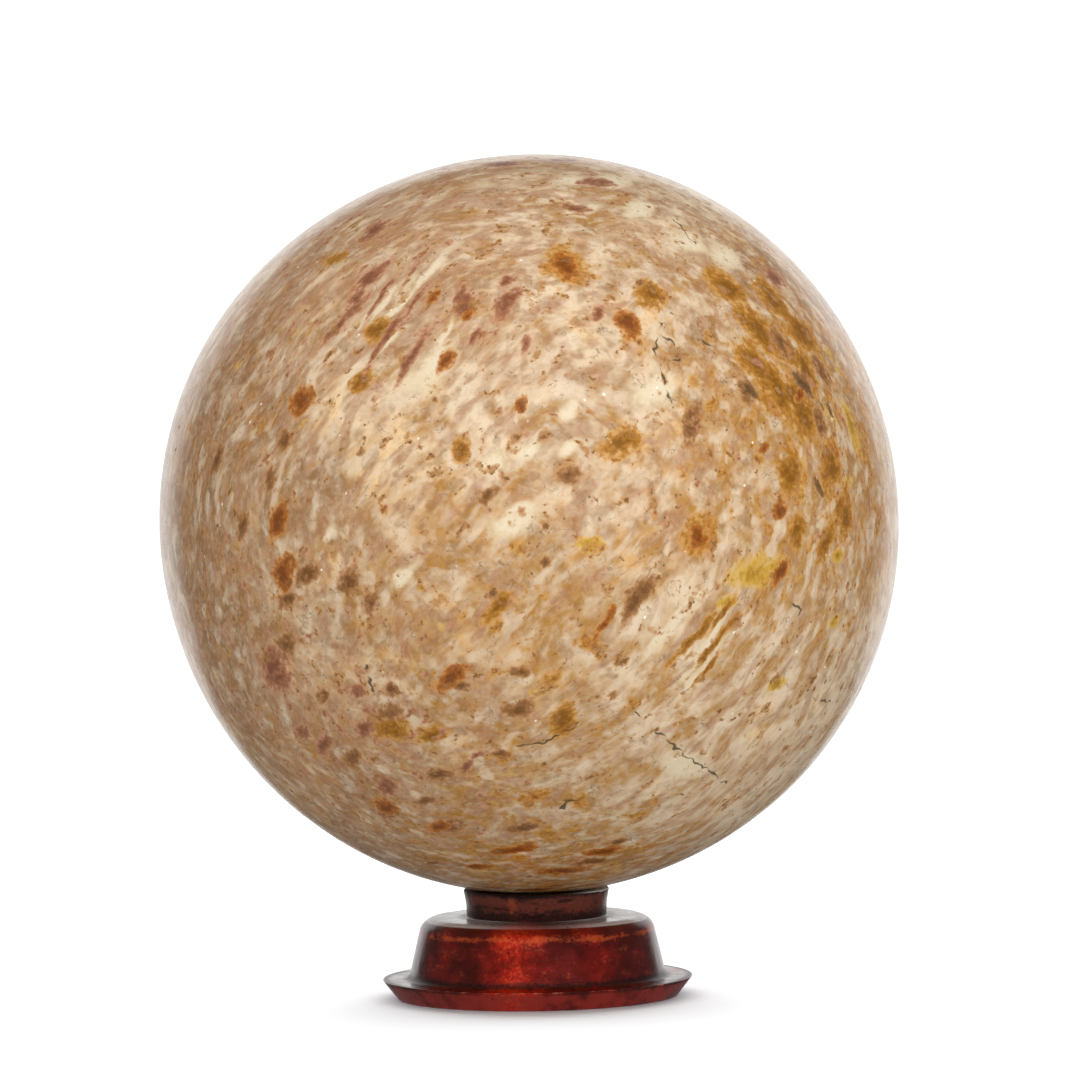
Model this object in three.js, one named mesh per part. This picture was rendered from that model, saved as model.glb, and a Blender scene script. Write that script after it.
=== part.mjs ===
// A polished stone ball resting in the dished neck of a turned, lacquered wooden stand.
// Millimetres, +Z up, origin at the centre of the stand's flat underside.
import * as THREE from "three";

// Driving dimensions
const ballDiameter = 200;
const seatGap = 0.3; // room between the ball and the dish that it sits in
const seatRadius = 16.5; // where the dish meets the flat top of the neck

const flangeRadius = 41.9;
const flangeHeight = 5.3;
const undersideRadius = 38.1; // the flange is cut back below its rim
const rimRound = 0.5;

const bellHeight = 16.5; // from the flange up to the shoulder's flat top
const bellFlare = THREE.MathUtils.degToRad(13); // how far the bell's side leans out
const shoulderRound = 4.5;
const shoulderRadius = 31.8; // the bell's side where its shoulder begins
const coveSize = 1.8; // the hollow where the bell meets the flange

const neckHeight = 7.5;
const neckFootRadius = 18.9;
const neckTopRadius = 19.8;
const neckFootCove = 0.5;
const neckEdge = 0.4; // softened outer edge of the neck's top

// Roundness of the solids
const stepsRoundStand = 72;
const stepsRoundBall = 64;
const stepsUpBall = 40;
const stepsPerArc = 3; // an arc takes twice as many
const stepsInDish = 6;

// Heights that follow from them
const shoulderHeight = flangeHeight + bellHeight;
const standHeight = shoulderHeight + neckHeight;
const ballRadius = ballDiameter / 2;
const dishRadius = ballRadius + seatGap;
const ballCentreHeight = standHeight + Math.sqrt(dishRadius ** 2 - seatRadius ** 2);

// The stand's outline from the underside's centre round to the dish's centre: radius, height.
function standProfile() {
  const outline = new THREE.Path();
  outline.moveTo(0, 0);
  outline.lineTo(undersideRadius, 0);

  // the flange: its cut-back edge swells a little on its way to the rim
  const edgeHeight = flangeHeight - rimRound;
  outline.quadraticCurveTo(
    (undersideRadius + flangeRadius) / 2 + rimRound,
    edgeHeight / 2,
    flangeRadius,
    edgeHeight,
  );
  outline.quadraticCurveTo(flangeRadius, flangeHeight, flangeRadius - rimRound, flangeHeight);

  // the bell: a hollow at its foot, a straight leaning side and a round shoulder
  const arcCentreRadius = shoulderRadius - shoulderRound * Math.cos(bellFlare);
  const arcCentreHeight = shoulderHeight - shoulderRound;
  const sideTopHeight = arcCentreHeight + shoulderRound * Math.sin(bellFlare);
  const sideFootHeight = flangeHeight + coveSize;
  const sideFootRadius = shoulderRadius + (sideTopHeight - sideFootHeight) * Math.tan(bellFlare);
  const coveCorner = sideFootRadius + coveSize * Math.tan(bellFlare);
  outline.lineTo(coveCorner + coveSize, flangeHeight);
  outline.quadraticCurveTo(coveCorner, flangeHeight, sideFootRadius, sideFootHeight);
  outline.lineTo(shoulderRadius, sideTopHeight);
  outline.absarc(arcCentreRadius, arcCentreHeight, shoulderRound, bellFlare, Math.PI / 2, false);

  // the neck: a slight flare up to the flat ring round the dish
  outline.lineTo(neckFootRadius + neckFootCove, shoulderHeight);
  outline.quadraticCurveTo(
    neckFootRadius,
    shoulderHeight,
    neckFootRadius,
    shoulderHeight + neckFootCove,
  );
  outline.quadraticCurveTo(
    neckFootRadius + (neckTopRadius - neckFootRadius) / 3,
    shoulderHeight + neckHeight / 2,
    neckTopRadius,
    standHeight - neckEdge,
  );
  outline.quadraticCurveTo(neckTopRadius, standHeight, neckTopRadius - neckEdge, standHeight);

  // the dish: part of a sphere about the ball's centre
  outline.lineTo(seatRadius, standHeight);
  const points = outline.getPoints(stepsPerArc);
  for (let step = 1; step <= stepsInDish; step += 1) {
    const radius = seatRadius * (1 - step / stepsInDish);
    points.push(
      new THREE.Vector2(radius, ballCentreHeight - Math.sqrt(dishRadius ** 2 - radius ** 2)),
    );
  }
  return points;
}

function makeStand() {
  const geometry = new THREE.LatheGeometry(standProfile(), stepsRoundStand);
  geometry.rotateX(Math.PI / 2);
  const redLacquer = new THREE.MeshStandardMaterial({
    color: "#6a1c12",
    roughness: 0.25,
    metalness: 0,
  });
  const stand = new THREE.Mesh(geometry, redLacquer);
  stand.name = "turned_stand";
  return stand;
}

function makeBall() {
  const geometry = new THREE.SphereGeometry(ballRadius, stepsRoundBall, stepsUpBall);
  geometry.rotateX(Math.PI / 2);
  const mottledStone = new THREE.MeshStandardMaterial({
    color: "#c6a57e",
    roughness: 0.18,
    metalness: 0,
  });
  const ball = new THREE.Mesh(geometry, mottledStone);
  ball.name = "stone_ball";
  ball.position.set(0, 0, ballCentreHeight);
  return ball;
}

const ballOnStand = new THREE.Group();
ballOnStand.add(makeStand(), makeBall());

export default ballOnStand;
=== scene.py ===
# A polished stone ball in the dished neck of a turned and lacquered wooden stand.
from math import cos, hypot, pi, radians, sin
from random import Random

import bmesh
import bpy
import numpy as np
from mathutils import Matrix, Vector, noise


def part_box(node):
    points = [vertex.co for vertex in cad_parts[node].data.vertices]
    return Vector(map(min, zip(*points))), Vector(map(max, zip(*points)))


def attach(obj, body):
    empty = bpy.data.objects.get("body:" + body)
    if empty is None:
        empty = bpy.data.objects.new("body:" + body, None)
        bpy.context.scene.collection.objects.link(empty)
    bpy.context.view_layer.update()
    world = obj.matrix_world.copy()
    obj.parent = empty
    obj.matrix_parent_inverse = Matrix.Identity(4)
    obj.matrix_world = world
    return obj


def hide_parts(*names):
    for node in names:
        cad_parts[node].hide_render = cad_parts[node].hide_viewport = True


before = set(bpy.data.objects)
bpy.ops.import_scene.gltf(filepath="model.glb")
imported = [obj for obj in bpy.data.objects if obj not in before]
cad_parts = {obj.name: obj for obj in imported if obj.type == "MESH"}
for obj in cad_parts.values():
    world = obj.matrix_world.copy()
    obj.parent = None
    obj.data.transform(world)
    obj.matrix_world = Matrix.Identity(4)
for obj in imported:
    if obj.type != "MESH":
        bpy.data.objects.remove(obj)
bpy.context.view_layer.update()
mm = 0.001


def toLinear(hexColour):  # "#rrggbb" in sRGB to linear red, green, blue and alpha
    parts = [int(hexColour[i:i + 2], 16) / 255 for i in (1, 3, 5)]
    return [p / 12.92 if p <= 0.04045 else ((p + 0.055) / 1.055) ** 2.4 for p in parts] + [1.0]


def addNode(tree, kind, settings=None, links=None):  # links: a socket to a value, another socket or a node
    node = tree.nodes.new(kind)
    for name, value in (settings or {}).items():
        setattr(node, name, value)
    for socket, value in (links or {}).items():
        if isinstance(value, bpy.types.Node):
            value = [output for output in value.outputs if output.enabled][0]
        if isinstance(value, bpy.types.NodeSocket):
            tree.links.new(value, node.inputs[socket])
        else:
            node.inputs[socket].default_value = value
    return node


def newMaterial(name):
    material = bpy.data.materials.new(name)
    material.use_nodes = True
    material.node_tree.nodes.clear()
    return material


def paintOver(tree, under, over, pattern, low, high, most=1.0):  # over shows from low on, and is full at high
    cover = addNode(tree, "ShaderNodeMapRange", {"interpolation_type": "SMOOTHSTEP"}, {
        "Value": pattern, "From Min": low, "From Max": high, "To Max": most})
    return addNode(tree, "ShaderNodeMix", {"data_type": "RGBA"}, {"Factor": cover, 6: under, 7: over})


def finishedPiece(bm, name, material):
    mesh = bpy.data.meshes.new(name)
    bm.to_mesh(mesh)
    bm.free()
    for face in mesh.polygons:
        face.use_smooth = True
    mesh.materials.append(material)
    piece = bpy.data.objects.new(name, mesh)
    bpy.context.scene.collection.objects.link(piece)
    return piece


def placeInFrame(piece, node):
    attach(piece, "root")
    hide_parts(node)


ballLow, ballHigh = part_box("stone_ball")
standLow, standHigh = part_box("turned_stand")
ballCentre = (ballLow + ballHigh) / 2
ballRadius = (ballHigh.z - ballLow.z) / 2

# the camera
view = {
    "lens": 221.7,  # on a 36 mm sensor
    "distance": 1.8,  # from the ball's centre
    "lift": 2.3,  # degrees above the ball's centre
    "roll": 0.97,
    "aimRight": 2.7 * mm,  # the picture's centre lies this far right of the ball's
    "aimDown": 4.46 * mm,
}


def placeCamera():
    def facing(direction):
        level = direction.to_track_quat("-Z", "Y").to_matrix()
        return level @ Matrix.Rotation(radians(-view["roll"]), 3, "Z")

    back = Vector((0, -cos(radians(view["lift"])), sin(radians(view["lift"]))))
    place = ballCentre + back * view["distance"]
    right, up = facing(-back).col[0], facing(-back).col[1]
    aim = ballCentre + right * view["aimRight"] - up * view["aimDown"]
    data = bpy.data.cameras.new("camera")
    data.lens = view["lens"]
    data.sensor_width = 36
    data.clip_start = 0.1
    data.clip_end = 50
    camera = bpy.data.objects.new("camera", data)
    camera.location = place
    camera.rotation_euler = facing(aim - place).to_euler()
    bpy.context.scene.collection.objects.link(camera)
    bpy.context.scene.camera = camera


placeCamera()

# the studio: white paper under the piece, a bright backdrop behind it and one big soft key light
studio = {
    "floorRadius": 0.6,
    "room": 0.79,  # even light from all round
    "reflectedRoom": 0.13,  # what the polish mirrors of the room
    "white": 1.2,  # what the camera sees behind the piece
    "backdrop": {"size": (1.95, 0.91), "place": (0, 1.15, 0.235), "aim": (0, 0, 0.235), "power": 5.9},
    "key": {"size": (1.9, 1.7), "place": (0.25, -1.4, 0.78), "aim": (0, 0, 0.13), "power": 26.3},
    "paperLight": {"size": (2.4, 0.8), "place": (0, 1.2, 0.76), "aim": (0, 0, 0), "power": 38.0},
}


def addSoftbox(name):
    settings = studio[name]
    data = bpy.data.lights.new(name, "AREA")
    data.shape = "RECTANGLE"
    data.size, data.size_y = settings["size"]
    data.energy = settings["power"]
    light = bpy.data.objects.new(name, data)
    light.location = settings["place"]
    light.rotation_euler = (Vector(settings["aim"]) - light.location).to_track_quat("-Z", "Y").to_euler()
    light.visible_camera = False
    bpy.context.scene.collection.objects.link(light)


def buildStudio():
    paper = newMaterial("matt white paper, seamless")
    tree = paper.node_tree
    shader = addNode(tree, "ShaderNodeBsdfDiffuse", links={"Color": toLinear("#eff2f6")})
    addNode(tree, "ShaderNodeOutputMaterial", links={"Surface": shader.outputs[0]})
    bm = bmesh.new()
    bmesh.ops.create_circle(bm, cap_ends=True, segments=96, radius=studio["floorRadius"])
    floor = finishedPiece(bm, "paper_floor", paper)
    floor.visible_diffuse = False  # the paper is overexposed, so it doesn't light the piece
    floor.visible_glossy = False
    for name in ("backdrop", "key", "paperLight"):
        addSoftbox(name)
    bpy.data.objects["key"].visible_glossy = False  # too soft to show as a shape in the polish
    world = bpy.data.worlds.new("studio")
    world.use_nodes = True
    tree = world.node_tree
    tree.nodes.clear()
    path = addNode(tree, "ShaderNodeLightPath")
    strength = addNode(tree, "ShaderNodeMix", links={
        "Factor": path.outputs["Is Glossy Ray"], 2: studio["room"], 3: studio["reflectedRoom"]})
    lit = addNode(tree, "ShaderNodeBackground", links={"Color": (1, 1, 1, 1), "Strength": strength.outputs[0]})
    seen = addNode(tree, "ShaderNodeBackground", links={"Color": (1, 1, 1, 1), "Strength": studio["white"]})
    both = addNode(tree, "ShaderNodeMixShader", links={
        0: path.outputs["Is Camera Ray"], 1: lit.outputs[0], 2: seen.outputs[0]})
    addNode(tree, "ShaderNodeOutputWorld", links={"Surface": both.outputs[0]})
    bpy.context.scene.world = world
    bpy.context.scene.view_settings.view_transform = "Standard"


def shareLight(ball, stand):  # the paper has a light of its own, and the other lights leave it out
    groups = {}
    for name, members in {
        "paper": [bpy.data.objects["paper_floor"]],
        "shading the paper": [stand],
        "lit by the studio": [ball, stand],
    }.items():
        groups[name] = bpy.data.collections.new(name)
        for member in members:
            groups[name].objects.link(member)
    paperLight = bpy.data.objects["paperLight"].light_linking
    paperLight.receiver_collection = groups["paper"]
    paperLight.blocker_collection = groups["shading the paper"]
    for name in ("backdrop", "key"):
        bpy.data.objects[name].light_linking.receiver_collection = groups["lit by the studio"]


buildStudio()
print("camera and studio ready")

# The ball. Places on it are an azimuth, from the front towards the right, and a height above its
# equator, in degrees. A mark is a place, a length and a width in millimetres, and the lean of its
# length above the horizontal in degrees.
stoneBall = {
    "fineness": 7,
    "seed": 11,
    "waves": ((3, 0.28, 49), (4, 0.27, -28)),  # hand-ground roundness: lobes, millimetres, turn in degrees
    "polishWaves": (0.03, 14),  # millimetres deep, millimetres across
    "crackWidth": 0.6,
    "crackWander": 1.1,
    "crackDepth": 0.12,
    "pitDepth": 0.25,
    "fray": 1.3,  # how far a mark's outline wanders
    "markDip": 0.05,  # soft minerals are polished a little lower
}
stains = {  # the ones that stand alone
    "cream": [(-16, 26, 20, 10, 55), (-3, 2, 14, 8, 15), (21, 22, 16, 9, 30), (30, -38, 20, 8, -20)],
    "yellow": [(36, -6, 18, 9, 10), (9, -1, 7, 4, 10), (62, 15, 18, 5, -80)],
    "ochre": [
        (8, 44, 15, 11, 90), (24, 38, 10, 9, 80), (14, 14, 12, 9, 30), (26, 0, 12, 9, 50), (-10, 13, 8, 6, 90),
        (5, -28, 11, 6, 75), (-5, -10, 13, 5, 50),
    ],
    "brown": [(26, 17, 15, 5, 60), (16, -9, 16, 5, 60)],
    "maroon": [(-4, 37, 14, 4, 65), (13, 35, 6, 4, 55), (-46, -20, 15, 9, 50)],
    "rust": [
        (8, 44, 10, 7, 90), (18, 33, 9, 6, 90), (-1, 20, 5, 3, 90), (-39, 21, 9, 7, 85), (-41, 3, 11, 6, 70),
        (-40, -5, 11, 7, 65), (26, 0, 8, 5, 50), (-13, -21, 12, 5, 30), (11, -13, 13, 3, 65),
    ],
    "dark": [(51, 22, 9, 3, -60)],
}
clusters = {  # place, spread in degrees, how many, longest, width for each millimetre of length, lean
    "cream": [
        # the cream marks round (30, 60) and (44, 46) are a painted sheen too
        (-24, 37, 8, 6, 26, 0.12, 70), (26, -18, 8, 5, 28, 0.12, 50), (30, 60, 9, 5, 20, 0.5, 15), (44, 46, 5, 2, 13, 0.6, 20),
        (3, 10, 10, 5, 13, 0.5, 30), (-27, -4, 8, 2, 10, 0.5, 45),
    ],
    "yellow": [(45, -14, 14, 5, 9, 0.5, 20)],
    "ochre": [
        (48, 28, 11, 9, 20, 0.5, -70), (50, 5, 11, 7, 17, 0.5, 70), (-22, -32, 6, 2, 15, 0.5, 20),
        (28, -17, 5, 4, 24, 0.12, 50), (-32, 38, 18, 3, 11, 0.6, 30),
    ],
    "brown": [
        (50, 22, 11, 5, 11, 0.5, -70), (-34, -18, 15, 10, 10, 0.6, 40), (-24, -44, 10, 5, 11, 0.5, 10),
        (-8, -28, 8, 4, 9, 0.6, 0), (-48, 8, 10, 4, 10, 0.5, 75), (0, 2, 8, 4, 7, 0.5, 40),
        (14, -56, 12, 3, 12, 0.45, 15),
    ],
    "maroon": [
        (-27, 38, 9, 6, 26, 0.1, 70), (-38, -28, 11, 6, 11, 0.6, 40), (-14, -30, 8, 3, 8, 0.4, 45),
        (-38, 48, 9, 3, 12, 0.5, 75), (-9, 37, 7, 6, 11, 0.32, 70), (4, 68, 14, 4, 13, 0.6, -15), (60, 41, 3, 1, 9, 1.0, -85),
    ],
    "rust": [(-13, 33, 7, 3, 9, 0.35, 65), (0, -64, 13, 5, 16, 0.4, 10), (-28, -50, 8, 2, 10, 0.6, 5), (42, 4, 16, 4, 9, 0.5, 40)],
    "dark": [(50, 18, 12, 3, 7, 0.35, -65)],
}
scattered = {"rust": 16, "ochre": 18, "yellow": 6, "brown": 20, "maroon": 24, "dark": 10, "cream": 14}  # behind
cracks = [  # chains of places
    [(27, 35), (30, 34), (31, 30), (34, 28)], [(24, 33), (22, 28), (23, 20)], [(22, 26), (26, 27)],
    [(24, 31), (26, 29)], [(4, -44), (8, -44), (12, -43)], [(7, -44), (6, -46)], [(-3, -33), (2, -32), (8, -29)],
    [(17, -27), (30, -36), (43, -42)], [(44, -11), (46, -12), (45, -14)], [(-27, -19), (-27, -23)],
    [(56, -27), (63, -28)], [(42, 54), (42, 48)],
]
zones = {  # place, reach in degrees, strength
    # pale: the stone's paler parts; the places at (10, 24), (28, 60) and (42, 46) are a painted sheen, the key light's
    # soft reflection put into the colour
    "paleAndSheen": [
        (0, 14, 14, 0.3), (10, 24, 18, 0.3), (-20, 29, 15, 1.1), (36, -32, 24, 2.2), (28, 60, 24, 1.6),
        (50, -32, 12, 0.8), (-30, -10, 20, 0.4), (-10, 58, 22, 0.7), (-30, 16, 14, 0.8), (-15, 46, 9, 1.0),
        (42, 46, 10, 1.1), (-22, -58, 13, 1.2), (14, 46, 8, 0.4), (-50, 46, 12, 1.0),
    ],
    "warm": [
        (50, 28, 18, 1.1), (46, 6, 17, 1.1), (46, -8, 14, 1.1), (64, 12, 15, 2.0), (8, -64, 20, 1.8),
        (12, -14, 18, 0.5), (-3, -3, 13, 0.8), (0, -40, 18, 0.7),
    ],
    "mauve": [
        (-45, -25, 26, 0.8), (-45, 45, 24, 0.9), (-5, 72, 26, 0.7), (-10, 38, 12, 0.6), (-20, -45, 22, 0.6),
        (-30, 44, 14, 0.5),
    ],
    "dusk": [  # below 0 it takes brown away; the strong places near the ball's left, lower and right edges are painted shade, darker towards the rim
        (-66, 11, 18, 2.5), (-46, -60, 10, 2.4), (6, -62, 14, 0.8), (30, 30, 7, 0.6), (33, -32, 20, -2.0),
        (-55, 30, 12, 0.5), (-62, -14, 14, 1.2), (0, -70, 20, 1.3), (62, 36, 15, 1.3), (-40, -30, 20, 0.5),
        (-20, -58, 8, -0.8), (62, 14, 9, 1.0), (-30, 5, 9, 0.6),
    ],
}


def onBall(azimuth, height):
    a, h = radians(azimuth), radians(height)
    return np.array([sin(a) * cos(h), -cos(a) * cos(h), sin(h)])


def acrossMark(directions, mark):  # how far out in the mark each direction lies: 0 at its middle, 1 at its edge
    azimuth, height, length, width, lean = mark
    centre = onBall(azimuth, height)
    east = np.array([cos(radians(azimuth)), sin(radians(azimuth)), 0.0])
    north = np.cross(centre, east) * -1
    north = north if north[2] > 0 else -north
    along = east * cos(radians(lean)) + north * sin(radians(lean))
    side = np.cross(centre, along)
    reach = ballRadius / mm * 2
    out = np.hypot(directions @ along * reach / length, directions @ side * reach / width)
    return np.where(directions @ centre > 0, out, 99.0)


def fromCracks(directions):  # millimetres to the nearest crack
    nearest = np.full(len(directions), 99.0)
    for chain in allCracks:
        for a, b in zip(chain, chain[1:]):
            start, end = onBall(*a), onBall(*b)
            run = end - start
            t = np.clip((directions - start) @ run / (run @ run), 0, 1)
            closest = start + t[:, None] * run
            closest /= np.linalg.norm(closest, axis=1)[:, None]
            gap = np.linalg.norm(directions - closest, axis=1)
            nearest = np.minimum(nearest, gap * ballRadius / mm)
    return nearest


def scatter():  # more marks, cracks and pits in the same way all round
    draw = Random(stoneBall["seed"])

    def anywhere(backOnly):
        while True:
            v = Vector((draw.gauss(0, 1), draw.gauss(0, 1), draw.gauss(0, 1))).normalized()
            if not backOnly or v.y > 0.15:
                return v

    def asPlace(v):
        return np.degrees(np.arctan2(v.x, -v.y)), np.degrees(np.arcsin(v.z))

    for pigment, some in clusters.items():
        for azimuth, height, spread, count, longest, slim, lean in some:
            for i in range(count):
                out, turn = spread * ((i + 0.5) / count) ** 0.5, 2.4 * i  # spiralling out, evenly spread
                length = longest * draw.uniform(0.55, 1)
                allMarks[pigment].append((
                    azimuth + (out * cos(turn) + draw.gauss(0, spread / 5)) / cos(radians(height)),
                    height + out * sin(turn) + draw.gauss(0, spread / 5),
                    length, length * slim * draw.uniform(0.8, 1.3), lean + draw.gauss(0, 9)))
    frontMarks.extend(mark for some in allMarks.values() for mark in some)
    for pigment, count in scattered.items():
        for _ in range(count):
            v = anywhere(True)
            flow = v.cross(Vector((0, 1, 0)))  # the stone's layers face the front
            azimuth, height = asPlace(v)
            east = Vector((cos(radians(azimuth)), sin(radians(azimuth)), 0))
            lean = np.degrees(np.arctan2(flow.dot(v.cross(east)), flow.dot(east))) + draw.gauss(0, 12)
            length = draw.uniform(5, 14)
            allMarks[pigment].append((azimuth, height, length, length * draw.uniform(0.35, 0.6), lean))
    for _ in range(16):
        v = anywhere(True)
        step = v.cross(anywhere(False)).normalized()
        chain = [asPlace(v)]
        for _ in range(draw.randint(2, 4)):
            v = (v + step * draw.uniform(0.03, 0.07)).normalized()
            step = (step + Vector([draw.gauss(0, 0.35) for _ in range(3)])).normalized()
            chain.append(asPlace(v))
        allCracks.append(chain)
    for _ in range(60):
        v = anywhere(False)
        azimuth, height = asPlace(v)
        size = draw.uniform(0.7, 1.6)
        pits.append((azimuth, height, size, size * draw.uniform(0.6, 1), draw.uniform(0, 90)))


allMarks = {pigment: list(some) for pigment, some in stains.items()}
frontMarks = []
allCracks = list(cracks)
pits = []
scatter()


def directionsOf(bm):
    places = np.array([vert.co for vert in bm.verts])
    return places / np.linalg.norm(places, axis=1)[:, None]


def refine(bm, near):  # splits the edges round the vertices for which near is true, and keeps the ball round
    chosen = near(directionsOf(bm))
    bm.verts.ensure_lookup_table()
    edges = [edge for edge in bm.edges if chosen[edge.verts[0].index] or chosen[edge.verts[1].index]]
    bmesh.ops.subdivide_edges(bm, edges=edges, cuts=1, use_grid_fill=True)
    bmesh.ops.triangulate(bm, faces=[face for face in bm.faces if len(face.verts) > 3])
    for vert in bm.verts:
        vert.co = vert.co.normalized() * ballRadius
    bm.verts.index_update()


def nearMarks(directions):
    near = np.zeros(len(directions), bool)
    for mark in frontMarks:
        near |= acrossMark(directions, mark) < 1.1
    return near


def nearPits(directions):
    near = np.zeros(len(directions), bool)
    for pit in pits:
        near |= acrossMark(directions, pit) < 2.4
    return near


def buildBall():
    bm = bmesh.new()
    bmesh.ops.create_icosphere(bm, subdivisions=stoneBall["fineness"], radius=ballRadius)
    bm.verts.index_update()
    refine(bm, nearMarks)
    for reach in (1.8, 1.3, 1.0):
        refine(bm, lambda directions: fromCracks(directions) < reach)
    refine(bm, nearPits)
    refine(bm, nearPits)
    directions = directionsOf(bm)
    wander = np.array([noise.noise_vector(vert.co / (6 * mm)) for vert in bm.verts])
    frayed = directions + wander * stoneBall["fray"] * mm / ballRadius
    frayed /= np.linalg.norm(frayed, axis=1)[:, None]
    jagged = np.array([noise.noise_vector(vert.co / (2 * mm)) for vert in bm.verts]) * stoneBall["crackWander"]
    jagged = directions + jagged * mm / ballRadius
    jagged /= np.linalg.norm(jagged, axis=1)[:, None]
    crack = np.clip(1 - fromCracks(jagged) / stoneBall["crackWidth"], 0, 1)
    crack *= np.clip([0.8 + 1.3 * noise.noise(vert.co / (3.5 * mm)) for vert in bm.verts], 0.1, 1)
    fields = {"crack": crack}
    for pigment, some in allMarks.items():
        fields[pigment] = np.max([np.clip(1 - acrossMark(frayed, mark) / 1.35, 0, 1) for mark in some], axis=0)
    for zone, some in zones.items():
        total = 0
        for azimuth, height, reach, strength in some:
            far = np.degrees(np.arccos(np.clip(directions @ onBall(azimuth, height), -1, 1)))
            total = total + strength * np.exp(-(far / reach) ** 2)
        fields[zone] = np.clip(total, -1.5, 1.5)
    pit = np.max([np.clip(1 - acrossMark(directions, p), 0, 1) for p in pits], axis=0)
    fields["pit"] = pit

    # the hand-ground surface
    fromAxis = np.hypot(directions[:, 0], directions[:, 2])
    turn = np.arctan2(directions[:, 2], directions[:, 0])
    height = np.zeros(len(directions))
    for lobes, deep, turned in stoneBall["waves"]:
        height += deep * fromAxis ** lobes * np.cos(lobes * (radians(turned) - turn))
    deep, across = stoneBall["polishWaves"]
    height += np.array([noise.noise(vert.co / (across * mm)) * deep for vert in bm.verts])
    height -= crack * stoneBall["crackDepth"] + pit * stoneBall["pitDepth"]
    height -= (fields["rust"] + fields["dark"]) * stoneBall["markDip"]
    for vert, lift in zip(bm.verts, height):
        vert.co *= 1 + lift * mm / ballRadius
    bmesh.ops.translate(bm, verts=bm.verts, vec=ballCentre)
    ball = finishedPiece(bm, "polished_stone_ball", stoneMaterial())
    for name, values in fields.items():
        attribute = ball.data.attributes.new(name, "FLOAT", "POINT")
        attribute.data.foreach_set("value", values.astype(np.float32))
    placeInFrame(ball, "stone_ball")
    print("ball ready:", len(ball.data.polygons), "faces")
    return ball


# Feldspar rock, sawn round, ground and polished: flowing layers of cream and tan grains, rusty iron
# stains with ochre halos, thin dark veins. The polish gives it a clear sheen, whitish at the rim.
stone = {
    "flowTurn": (0, 47, 0),  # the layers face the front, and their grain leans this much
    "folds": ((36, 9), (8, 1.2)),  # millimetres across, millimetres of push
    "blotched": (0.85, 1.2, 1.0),  # how much tighter the noises get in each direction
    "fibred": (0.3, 1.6, 1.0),
    # noises: millimetres across, detail and roughness
    "clouds": {"wide": (20, 3.0, 0.55), "patches": (9, 2.5, 0.55), "flecks": (4.4, 2.0, 0.5)},
    "grains": {"edges": (3.0, 3.0, 0.65), "fine": (1.3, 2.0, 0.6)},
    "fibres": {"fibres": (1.8, 2.0, 0.6), "layers": (5.0, 2.0, 0.5)},
    "mosaic": 2.6,
    "fraying": (1.0, -1.7),  # of the stains' outlines, by the edges and by the flecks
    "roughness": 0.22,
    "ior": 1.5,
}
stoneColours = {
    "tan": "#c5985a",
    "paleAndSheen": "#deb87e",
    "warm": "#b47e32",
    "cream": "#cdb99e",
    "rose": "#ac8664",
    "brown": "#855a32",
    "ochre": "#9c6a10",
    "fawn": "#a67f58",
    "sand": "#a47c50",
    "russet": "#9a6e4e",
    "umber": "#84603c",
    "vein": "#483c22",
    "speck": "#3c2618",
    # painted highlight: white glints where light would catch small pits
    "paintedGlint": "#fbf3e4",
    "pit": "#5f3e22",
}
# The body is painted in layers: which noise, which zone shifts it and how far, from where the layer
# shows, where it is full, how strong it is then, and its colour.
bodyLayers = [
    ("wide r", "paleAndSheen", 0.13, -0.12, 0.18, 0.85, "cream"),
    ("wide g", "mauve", 0.13, -0.02, 0.18, 0.75, "rose"),
    ("wide b", "dusk", 0.19, -0.02, 0.22, 0.85, "brown"),
    ("wide r", "dusk", 0.14, 0.09, 0.28, 0.7, "umber"),
    ("patches r", "warm", 0.17, -0.02, 0.2, 0.85, "ochre"),
    ("patches g", "paleAndSheen", -0.06, 0, 0.17, 0.65, "fawn"),
    ("patches g", None, 0, -0.02, -0.18, 0.6, "cream"),
    ("flecks r", None, 0, -0.02, 0.2, 0.5, "cream"),
    ("flecks g", "paleAndSheen", -0.06, 0, 0.19, 0.5, "sand"),
    ("flecks b", "dusk", 0.05, 0.03, 0.16, 0.5, "umber"),
    ("layers", "mauve", 0.1, 0.03, 0.18, 0.65, "russet"),
    ("layers", "mauve", 0.1, -0.02, -0.16, 0.6, "cream"),
    ("mosaic r", None, 0, 0, 0.5, 0.18, "cream"),
    ("mosaic g", None, 0, 0, 0.5, 0.17, "brown"),
    ("fine", None, 0, 0, 0.24, 0.16, "brown"),
    ("fine", None, 0, 0, -0.22, 0.16, "cream"),
    ("fibres", None, 0, 0.02, 0.24, 0.22, "umber"),
    ("fibres", None, 0, -0.04, -0.22, 0.18, "cream"),
]
# Stains: halo, core and deep core; which noises scatter small ones, which zone has more of them and
# how much more, how rare they are, and how soft their edges.
pigments = {
    "cream": ("#c8b592", "#cebda0", "#d2c3aa", ("wide g",), "paleAndSheen", 0.085, 0.10, 2.2),
    "yellow": ("#c5a260", "#b68c2c", "#8c6814", ("patches g",), "warm", 0.08, 0.16, 1.3),
    "ochre": ("#b88640", "#925e10", "#684008", ("patches b",), "warm", 0.09, 0.105, 1.2),
    "brown": ("#a87c50", "#80542c", "#5a3a1a", ("patches r", "flecks r"), "dusk", 0.06, 0.095, 1.2),
    "maroon": ("#b48464", "#8a583c", "#683c28", ("flecks g",), "mauve", 0.08, 0.10, 1.3),
    "rust": ("#b47c3c", "#8c4c12", "#60300c", ("patches b", "flecks b"), "warm", 0.04, 0.10, 1.1),
    "dark": ("#8c6842", "#6a4a28", "#4c381c", ("flecks b",), "dusk", 0.05, 0.21, 1.0),
}


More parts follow.
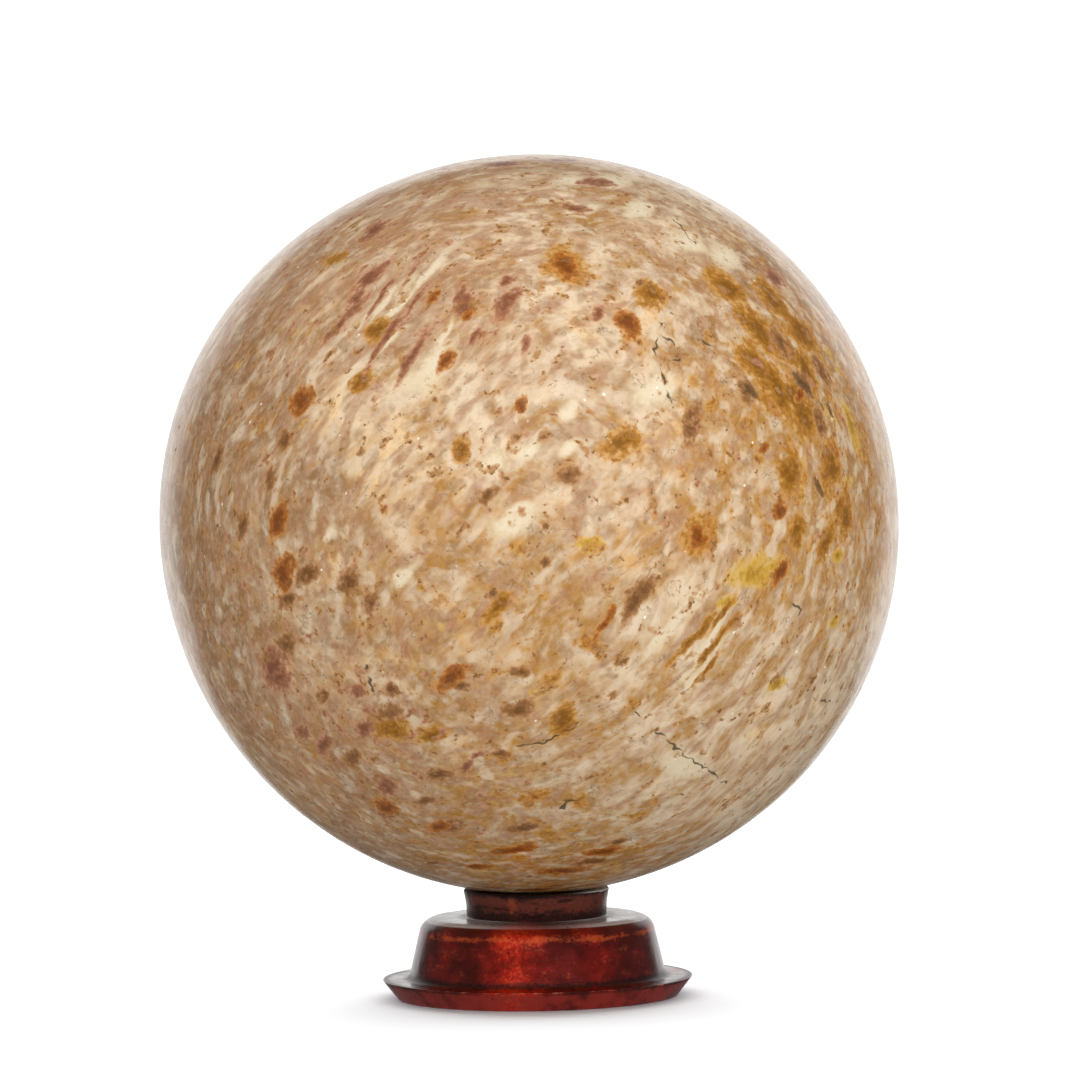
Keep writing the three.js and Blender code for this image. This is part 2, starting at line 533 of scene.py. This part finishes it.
def foldedFlow(tree):  # millimetres from the ball's centre, turned along the layers and bent like them
    coordinates = addNode(tree, "ShaderNodeTexCoord").outputs["Object"]
    centred = addNode(tree, "ShaderNodeMapping", links={
        "Vector": coordinates, "Location": -ballCentre / mm, "Scale": (1 / mm, 1 / mm, 1 / mm)})
    flow = addNode(tree, "ShaderNodeMapping", links={
        "Vector": centred, "Rotation": [radians(a) for a in stone["flowTurn"]]})
    for across, push in stone["folds"]:
        fold = addNode(tree, "ShaderNodeTexNoise", links={"Vector": flow, "Scale": 1 / across, "Detail": 1.0})
        shift = addNode(tree, "ShaderNodeVectorMath", {"operation": "SUBTRACT"}, {
            0: fold.outputs["Color"], 1: (0.5, 0.5, 0.5)})
        shift = addNode(tree, "ShaderNodeVectorMath", {"operation": "SCALE"}, {0: shift, "Scale": push})
        flow = addNode(tree, "ShaderNodeVectorMath", {"operation": "ADD"}, {0: flow, 1: shift})
    return flow


def stoneNoises(tree, flow):  # every noise lies round 0; the clouds and the mosaic have three each, r, g and b
    blotched = addNode(tree, "ShaderNodeMapping", links={"Vector": flow, "Scale": stone["blotched"]})
    fibred = addNode(tree, "ShaderNodeMapping", links={"Vector": flow, "Scale": stone["fibred"]})
    noises = {}
    threefold = {"mosaic": addNode(tree, "ShaderNodeTexVoronoi", links={
        "Vector": blotched, "Scale": 1 / stone["mosaic"], "Randomness": 1.0})}
    for group, vector in (("clouds", blotched), ("grains", blotched), ("fibres", fibred)):
        for name, (across, detail, roughness) in stone[group].items():
            made = addNode(tree, "ShaderNodeTexNoise", links={
                "Vector": vector, "Scale": 1 / across, "Detail": detail, "Roughness": roughness})
            if group == "clouds":
                threefold[name] = made
            else:
                noises[name] = addNode(tree, "ShaderNodeMath", {"operation": "SUBTRACT"}, {0: made, 1: 0.5})
    for name, made in threefold.items():
        centred = addNode(tree, "ShaderNodeVectorMath", {"operation": "SUBTRACT"}, {
            0: made.outputs["Color"], 1: (0.5, 0.5, 0.5)})
        split = addNode(tree, "ShaderNodeSeparateXYZ", links={0: centred})
        for i, channel in enumerate("rgb"):
            noises[name + " " + channel] = split.outputs[i]
    return noises, blotched


def paintBody(tree, noises, zone):
    colour = paintOver(tree, toLinear(stoneColours["tan"]), toLinear(stoneColours["paleAndSheen"]), zone["paleAndSheen"], 0, 1.5)
    colour = paintOver(tree, colour, toLinear(stoneColours["warm"]), zone["warm"], 0, 1.5, 0.75)
    for name, where, shift, low, high, most, hue in bodyLayers:
        pattern = noises[name]
        if where:
            pattern = addNode(tree, "ShaderNodeMath", {"operation": "MULTIPLY_ADD"}, {
                0: zone[where], 1: shift, 2: pattern})
        colour = paintOver(tree, colour, toLinear(stoneColours[hue]), pattern, low, high, most)
    return colour


def paintStains(tree, colour, noises, zone):  # the placed ones, and small ones all through the stone
    byEdges, byFlecks = stone["fraying"]
    frayed = addNode(tree, "ShaderNodeMath", {"operation": "MULTIPLY"}, {0: noises["edges"], 1: byEdges})
    frayed = addNode(tree, "ShaderNodeMath", {"operation": "MULTIPLY_ADD"}, {
        0: noises["flecks r"], 1: byFlecks, 2: frayed})
    for name, (halo, core, deep, scattering, where, more, rare, soft) in pigments.items():
        amount = noises[scattering[0]]
        if len(scattering) == 2:
            amount = addNode(tree, "ShaderNodeMix", links={"Factor": 0.5, 2: amount, 3: noises[scattering[1]]})
        amount = addNode(tree, "ShaderNodeMath", {"operation": "MULTIPLY_ADD"}, {0: zone[where], 1: more, 2: amount})
        amount = addNode(tree, "ShaderNodeMath", {"operation": "MULTIPLY_ADD"}, {
            0: zone["paleAndSheen"], 1: -0.045, 2: amount})  # the pale parts are calmer
        amount = addNode(tree, "ShaderNodeMath", {"operation": "MULTIPLY_ADD"}, {0: amount, 1: 4.5, 2: -4.5 * rare})
        placed = addNode(tree, "ShaderNodeAttribute", {"attribute_name": name})
        placed = addNode(tree, "ShaderNodeMath", {"operation": "MULTIPLY"}, {0: placed.outputs["Fac"], 1: 1.95})
        amount = addNode(tree, "ShaderNodeMath", {"operation": "MAXIMUM"}, {0: placed, 1: amount})
        amount = addNode(tree, "ShaderNodeMath", {"operation": "ADD"}, {0: amount, 1: frayed})
        grainy = addNode(tree, "ShaderNodeMath", {"operation": "MULTIPLY_ADD"}, {
            0: noises["fine"], 1: 2.0, 2: amount})
        colour = paintOver(tree, colour, toLinear(halo), amount, 0.15, 0.15 + 0.45 * soft, 0.75)
        colour = paintOver(tree, colour, toLinear(core), grainy, 0.35, 0.35 + 0.55 * soft, 0.85)
        colour = paintOver(tree, colour, toLinear(deep), grainy, 0.9, 0.9 + 0.7 * soft, 0.75)
    return colour


def paintVeins(tree, colour, flow, noises):  # thin, dark and broken
    ridge = addNode(tree, "ShaderNodeTexNoise", links={
        "Vector": flow, "Scale": 1 / 9, "Detail": 4.0, "Roughness": 0.6})
    ridge = addNode(tree, "ShaderNodeMath", {"operation": "SUBTRACT"}, {0: ridge, 1: 0.5})
    ridge = addNode(tree, "ShaderNodeMath", {"operation": "ABSOLUTE"}, {0: ridge})
    vein = addNode(tree, "ShaderNodeMapRange", links={"Value": ridge, "From Min": 0.014, "From Max": 0.002})
    shown = addNode(tree, "ShaderNodeMapRange", links={
        "Value": noises["flecks r"], "From Min": 0.03, "From Max": 0.12, "To Max": 0.5})
    vein = addNode(tree, "ShaderNodeMath", {"operation": "MULTIPLY"}, {0: vein, 1: shown})
    colour = paintOver(tree, colour, toLinear(stoneColours["vein"]), vein, 0, 1)
    crack = addNode(tree, "ShaderNodeAttribute", {"attribute_name": "crack"}).outputs["Fac"]
    return paintOver(tree, colour, toLinear(stoneColours["vein"]), crack, 0.2, 0.8, 0.9)


def paintSpecks(tree, colour, blotched):  # dark pinpricks, painted highlights as small white glints, and the pits painted darker
    dots = addNode(tree, "ShaderNodeTexVoronoi", links={"Vector": blotched, "Scale": 1 / 4, "Randomness": 1.0})
    pick = addNode(tree, "ShaderNodeSeparateColor", links={0: dots.outputs["Color"]})
    # the second kind is a painted highlight: small white glints
    for low, high, hue in ((0.55, 0.6, "speck"), (0.14, 0.1, "paintedGlint")):
        size = addNode(tree, "ShaderNodeMapRange", links={
            "Value": pick.outputs[0], "From Min": low, "From Max": high, "To Max": 0.12})
        inside = addNode(tree, "ShaderNodeMath", {"operation": "SUBTRACT"}, {0: size, 1: dots.outputs["Distance"]})
        colour = paintOver(tree, colour, toLinear(stoneColours[hue]), inside, 0, 0.08, 0.65)
    pit = addNode(tree, "ShaderNodeAttribute", {"attribute_name": "pit"}).outputs["Fac"]
    return paintOver(tree, colour, toLinear(stoneColours["pit"]), pit, 0.1, 0.6, 0.6)


def stoneMaterial():
    material = newMaterial("feldspar rock, ground and polished")
    tree = material.node_tree
    flow = foldedFlow(tree)
    noises, blotched = stoneNoises(tree, flow)
    zone = {}
    for name in zones:
        zone[name] = addNode(tree, "ShaderNodeAttribute", {"attribute_name": name}).outputs["Fac"]
    colour = paintBody(tree, noises, zone)
    colour = paintStains(tree, colour, noises, zone)
    colour = paintVeins(tree, colour, flow, noises)
    colour = paintSpecks(tree, colour, blotched)
    rough = addNode(tree, "ShaderNodeMapRange", links={
        "Value": noises["edges"], "From Min": -0.2, "From Max": 0.2, "To Min": stone["roughness"] - 0.04,
        "To Max": stone["roughness"] + 0.06})
    shader = addNode(tree, "ShaderNodeBsdfPrincipled", links={
        "Base Color": colour, "Roughness": rough, "IOR": stone["ior"]})
    addNode(tree, "ShaderNodeOutputMaterial", links={"Surface": shader})
    return material


ball = buildBall()

# The stand, one piece of turned wood. Radii and heights in millimetres, from the underside up.
footRadius, standTop = standHigh.x / mm, standHigh.z / mm
turnedStand = {
    "steps": 240,
    "underside": 38.1,
    "flange": 5.3,
    "shoulder": 21.8,
    "bellFoot": 34.9,  # where the bell's side would meet the flange
    "bellTop": 31.1,  # and where it would meet the shoulder's flat
    "neckFoot": 18.9,
    "neckTop": 19.8,
    "dishEdge": 16.5,
    "mesh": 1.3,  # longest stretch between rings
    "waviness": ((0.06, 9), (0.03, 2.5)),  # millimetres deep, millimetres across
    "chips": ((-27, 1.2, 0.8), (64, 0.9, 0.4), (150, 1.5, 0.6), (-118, 0.8, 0.4)),  # azimuth, half width, depth
    # thin lacquer; the patch at the front (-10) is also a painted glow, where the front light brightens the red
    "thinAndLitPatches": (
        (-10, 15, 1.0), (27, 9, 0.4), (-48, 8, 0.35), (105, 20, 0.7), (170, 25, 0.6), (-95, 16, 0.5), (-140, 15, 0.7)),
}
standFields = ("wornAndLit", "grimeAndShade", "thinAndLit", "rubbed", "lipReflection", "shadedUpper", "shoulder", "neck", "flange", "dustAndSheen")


def ringEdges(bm, radius, height):
    def onRing(vert):
        return abs(hypot(vert.co.x, vert.co.y) - radius * mm) < 0.02 * mm and abs(vert.co.z - height * mm) < 0.02 * mm

    return [edge for edge in bm.edges if onRing(edge.verts[0]) and onRing(edge.verts[1])]


def roundRing(bm, radius, height, size, segments):
    bmesh.ops.bevel(bm, geom=ringEdges(bm, radius, height), offset=size * mm, offset_type="OFFSET",
                    segments=segments, profile=0.5, affect="EDGES", material=-1)


def splitLong(bm, longest):  # rings closer together, except on the underside and in the dish
    while True:
        edges = [edge for edge in bm.edges if edge.calc_length() > longest and min(
            min(v.co.z for v in edge.verts), min(hypot(v.co.x, v.co.y) for v in edge.verts) - 0.0164) > 0]
        if not edges:
            return
        bmesh.ops.subdivide_edges(bm, edges=edges, cuts=1, use_grid_fill=True)


def buildStand():
    s = turnedStand
    flangeCorner = footRadius + 0.22  # its rounding takes this much off again
    dishBottom = ballLow.z / mm - 0.3
    dishMiddle = dishBottom + (standTop - dishBottom) * 0.24
    corners = [
        (0, 0), (s["underside"], 0), (flangeCorner, s["flange"]), (s["bellFoot"], s["flange"]),
        (s["bellTop"], s["shoulder"]), (s["neckFoot"], s["shoulder"]), (s["neckFoot"] + 0.15, s["shoulder"] + 3.2),
        (s["neckTop"], standTop), (s["dishEdge"], standTop), (s["dishEdge"] / 2, dishMiddle), (0, dishBottom),
    ]
    bm = bmesh.new()
    verts = [bm.verts.new((radius * mm, 0, height * mm)) for radius, height in corners]
    edges = [bm.edges.new(pair) for pair in zip(verts, verts[1:])]
    bmesh.ops.spin(bm, geom=verts + edges, axis=(0, 0, 1), cent=(0, 0, 0), angle=2 * pi, steps=s["steps"],
                   use_merge=True)
    bmesh.ops.remove_doubles(bm, verts=bm.verts, dist=0.001 * mm)
    bmesh.ops.recalc_face_normals(bm, faces=bm.faces)
    roundRing(bm, s["bellTop"], s["shoulder"], 3.6, 10)
    roundRing(bm, s["bellFoot"], s["flange"], 1.3, 6)
    roundRing(bm, flangeCorner, s["flange"], 0.45, 4)
    roundRing(bm, s["underside"], 0, 0.3, 2)
    roundRing(bm, s["neckFoot"], s["shoulder"], 0.4, 3)
    roundRing(bm, s["neckTop"], standTop, 0.4, 4)
    roundRing(bm, s["dishEdge"], standTop, 0.25, 2)
    splitLong(bm, s["mesh"] * mm)
    bmesh.ops.recalc_face_normals(bm, faces=bm.faces)
    bm.normal_update()

    places = np.array([vert.co for vert in bm.verts]) / mm
    radius, height = np.hypot(places[:, 0], places[:, 1]), places[:, 2]
    azimuth = np.degrees(np.arctan2(places[:, 0], -places[:, 1]))
    upward = np.array([vert.normal.z for vert in bm.verts])

    def near(ringRadius, ringHeight, reach):  # 1 on a ring, falling to 0 at its reach
        return np.clip(1 - np.hypot(radius - ringRadius, height - ringHeight) / reach, 0, 1)

    def around(middle, reach):  # 1 at an azimuth, falling off to both sides
        return np.exp(-(((azimuth - middle + 180) % 360 - 180) / reach) ** 2)

    fields = {
        # worn lacquer and a painted highlight along the flange's rim edge
        "wornAndLit": 0.8 * near(footRadius, s["flange"], 1.0),
        # painted shade with some dirt: darker at the neck's foot, the bell's foot, under the ball on the dish and neck
        # top, and along the flange
        "grimeAndShade": np.max([
            near(s["neckFoot"], s["shoulder"] + 0.8, 3.5), near(s["bellFoot"] - 0.3, s["flange"] + 0.4, 2.3),
            near(s["dishEdge"] + 1.5, standTop, 2.4), 1.1 * near(s["neckTop"], standTop, 1.8),
            0.8 * near(footRadius - 0.7, s["flange"], 1.3)], axis=0),
        "thinAndLit": sum(strength * around(middle, reach) for middle, reach, strength in s["thinAndLitPatches"]),
        "rubbed": around(-20, 5) + 0.4 * around(25, 8) + around(120, 9) + 0.7 * around(-100, 7),
        # painted reflection: the top of the neck's rim, on the right, pale as if mirroring the backdrop
        "lipReflection": np.clip((height - standTop + 0.35) / 0.2, 0, 1) * around(66, 26),
        # painted shade: the bell's upper rounding, just under the shoulder's flat, made darker
        "shadedUpper": np.clip((height - s["shoulder"] + 2.9) / 1.2, 0, 1) * (height < s["shoulder"] + 0.2),
        # painted highlight: an orange band along the bell's shoulder
        "shoulder": near(s["bellTop"] + 0.8, s["shoulder"] - 3.6, 1.7),
        "neck": np.clip((height - s["shoulder"] - 0.1) / 0.5, 0, 1),
        "flange": np.clip((s["flange"] - 0.2 - height) / 0.3, 0, 1),
        # dust on the flat tops round the shoulder, with a painted sheen: paler at the sides, less at the front
        "dustAndSheen": (upward > 0.85) * (abs(height - s["shoulder"]) < 1.5) * (1 - 0.75 * around(0, 50)),
    }
    free = np.clip(height / 1.5, 0, 1) * np.clip((radius - 17) / 1.5, 0, 1)
    for vert, loose in zip(bm.verts, free):
        for deep, across in s["waviness"]:
            vert.co += vert.normal * noise.noise(vert.co / (across * mm)) * deep * loose * mm
    for middle, halfWidth, depth in s["chips"]:
        cut = around(middle, np.degrees(halfWidth / s["neckTop"])) * near(s["neckTop"], standTop, 1.1)
        for vert, amount in zip(bm.verts, cut):
            vert.co.z -= amount * depth * mm
            vert.co.xy *= 1 - amount * depth * 0.6 / s["neckTop"]
        # the chips are painted darker too, shade with some dirt
        fields["grimeAndShade"] = np.maximum(fields["grimeAndShade"], np.clip(cut * 2.5, 0, 1))
    stand = finishedPiece(bm, "lacquered_stand", lacquerMaterial())
    for name, values in fields.items():
        attribute = stand.data.attributes.new(name, "FLOAT", "POINT")
        attribute.data.foreach_set("value", values.astype(np.float32))
    placeInFrame(stand, "turned_stand")
    print("stand ready:", len(stand.data.polygons), "faces")
    return stand


# Turned hardwood under dyed lacquer, rubbed thin in places: a deep red gloss, maroon where it lies thick,
# orange grains where it is thin, browner on the neck. Painted light as well: a red glow on the bell's front,
# highlights on the shoulder and the flange's rim, a pale reflection on the neck's top at the right, a grey sheen
# on the neck and the shoulder's flat, and painted shade, with some dirt, in the corners and under the ball.
lacquer = {
    "noises": {  # millimetres across, detail, roughness, and how much tighter they get sideways and upwards
        "cloud": (6.0, 4.0, 0.6, (1, 1, 1)),
        "grain": (0.9, 2.0, 0.7, (1, 1, 1)),
        "streak": (3.0, 3.0, 0.6, (0.35, 0.35, 1.6)),
        "pock": (2.2, 1.0, 0.6, (1, 1, 1)),
    },
    "roughness": 0.2,
    "ior": 1.42,
    "bump": 0.15 * mm,
}
lacquerColours = {
    "red": "#5a0a04",
    "bright": "#a81a04",
    "orange": "#b24818",
    "maroon": "#390704",
    "rubbedBrown": "#48180a",
    "dark": "#120504",
    "neckBrown": "#60291c",
    "neckRed": "#8a3a18",
    "neckGreySheen": "#7c5c4c",
    "flangeRed": "#701a12",
    "bareEdgeAndHighlight": "#9a5a48",
    "dustAndSheen": "#b0a6a2",
    # the colour of the painted reflection on the rim
    "lipReflection": "#cac2ba",
}
# Painted in layers: the field and the noises they follow with their weights, from where a layer shows,
# where it is full, how strong it is then, and its colour.
lacquerLayers = [
    # thin lacquer, and a painted glow on the bell's front: brighter red towards orange
    ({"thinAndLit": 1, "cloud": 2}, -0.1, 0.45, 1.0, "red"),
    ({"thinAndLit": 1, "cloud": 2}, 0.35, 1.2, 0.9, "bright"),
    ({"thinAndLit": 1, "cloud": 2, "grain": 3.5}, 0.9, 1.7, 0.7, "orange"),
    ({"grain": 1}, -0.02, -0.22, 0.6, "maroon"),
    ({"streak": 1}, 0.04, 0.2, 0.5, "rubbedBrown"),
    # painted shade just under the shoulder
    ({"shadedUpper": 1}, 0, 1, 0.5, "maroon"),
    # the painted orange highlight along the shoulder
    ({"shoulder": 1, "streak": 2.5, "grain": 1.8, "cloud": 1.5}, 0.3, 1.3, 0.5, "orange"),
    ({"flange": 2, "cloud": 2}, 1.6, 2.2, 0.9, "flangeRed"),
]
neckLayers = [
    ({"rubbed": 1, "grain": 1.5}, 0.3, 1.0, 0.8, "neckRed"),
    ({"streak": 1}, 0, 0.16, 0.75, "dark"),
    # painted sheen: grey flecks on the neck
    ({"grain": 1}, 0.06, 0.2, 0.4, "neckGreySheen"),
]
# dirt, and painted light: shade in the corners, highlights, a sheen and a reflection
dirtShadeAndSheenLayers = [
    ({"grimeAndShade": 1, "grain": 2}, 0.25, 0.8, 0.85, "dark"),
    # the worn, painted-highlight line on the flange's rim
    ({"wornAndLit": 1, "cloud": 3}, 0.7, 1.1, 0.6, "bareEdgeAndHighlight"),
    # dust and a painted sheen on the flat tops
    ({"dustAndSheen": 1}, 0.1, 0.7, 0.75, "dustAndSheen"),
    # the painted reflection on the rim's top
    ({"lipReflection": 1}, 0, 0.8, 1.0, "lipReflection"),
    ({"pock": 1}, 0.23, 0.28, 0.8, "dark"),
]


def paintLayers(tree, colour, layers, patterns):
    for weights, low, high, most, hue in layers:
        total = 0.0
        for name, weight in weights.items():
            total = addNode(tree, "ShaderNodeMath", {"operation": "MULTIPLY_ADD"}, {
                0: patterns[name], 1: weight, 2: total})
        colour = paintOver(tree, colour, toLinear(lacquerColours[hue]), total, low, high, most)
    return colour


def lacquerMaterial():
    material = newMaterial("hardwood, turned and red lacquered")
    tree = material.node_tree
    coordinates = addNode(tree, "ShaderNodeTexCoord").outputs["Object"]
    patterns = {}
    for name, (across, detail, roughness, tighter) in lacquer["noises"].items():
        place = addNode(tree, "ShaderNodeMapping", links={"Vector": coordinates, "Scale": Vector(tighter) / mm})
        made = addNode(tree, "ShaderNodeTexNoise", links={
            "Vector": place, "Scale": 1 / across, "Detail": detail, "Roughness": roughness})
        patterns[name] = addNode(tree, "ShaderNodeMath", {"operation": "SUBTRACT"}, {0: made, 1: 0.5})
    for name in standFields:
        patterns[name] = addNode(tree, "ShaderNodeAttribute", {"attribute_name": name}).outputs["Fac"]
    colour = paintLayers(tree, toLinear(lacquerColours["maroon"]), lacquerLayers, patterns)
    neck = paintLayers(tree, toLinear(lacquerColours["neckBrown"]), neckLayers, patterns)
    colour = paintOver(tree, colour, neck, patterns["neck"], 0, 1)
    colour = paintLayers(tree, colour, dirtShadeAndSheenLayers, patterns)
    rough = addNode(tree, "ShaderNodeMapRange", links={
        "Value": patterns["cloud"], "From Min": -0.2, "From Max": 0.2, "To Min": lacquer["roughness"] - 0.05,
        "To Max": lacquer["roughness"] + 0.08})
    for name, weight in {"grimeAndShade": 0.2, "neck": 0.12}.items():
        rough = addNode(tree, "ShaderNodeMath", {"operation": "MULTIPLY_ADD"}, {
            0: patterns[name], 1: weight, 2: rough})
    bump = addNode(tree, "ShaderNodeBump", links={
        "Height": patterns["grain"], "Distance": lacquer["bump"], "Strength": 0.25})
    shader = addNode(tree, "ShaderNodeBsdfPrincipled", links={
        "Base Color": colour, "Roughness": rough, "IOR": lacquer["ior"], "Normal": bump})
    addNode(tree, "ShaderNodeOutputMaterial", links={"Surface": shader})
    return material


stand = buildStand()
shareLight(ball, stand)
